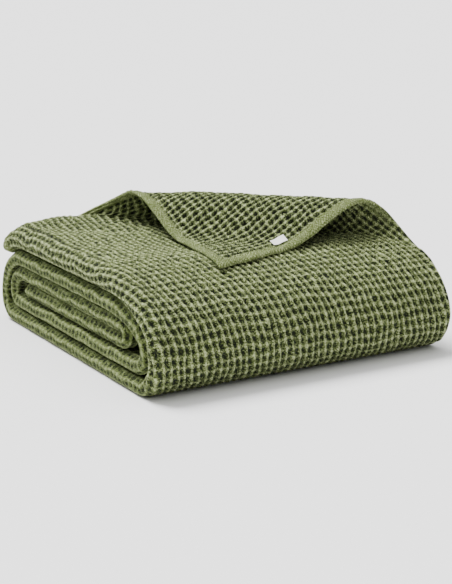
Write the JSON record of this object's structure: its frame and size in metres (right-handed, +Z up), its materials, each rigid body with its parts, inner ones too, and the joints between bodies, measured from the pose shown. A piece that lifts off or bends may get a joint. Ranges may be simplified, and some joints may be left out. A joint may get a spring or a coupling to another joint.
{
  "type": "throw blanket",
  "caption": "Waffle-weave cotton throw, folded flat in soft layers, with one corner curled up and laid back over the top and a small bare label sewn inside its hem.",
  "frame": {"origin": "middle of the folded package's box, on the surface it rests on", "axes": "+X along the front edge to the right, +Y to the back, +Z up"},
  "size_m": [0.3248, 0.3424, 0.1386],
  "materials": {
    "cloth": "washed sage green waffle-weave cotton",
    "tape": "plain white woven tape"
  },
  "bodies": {
    "root": {"throw": "cloth", "label": "tape"}
  },
  "joints": []
}
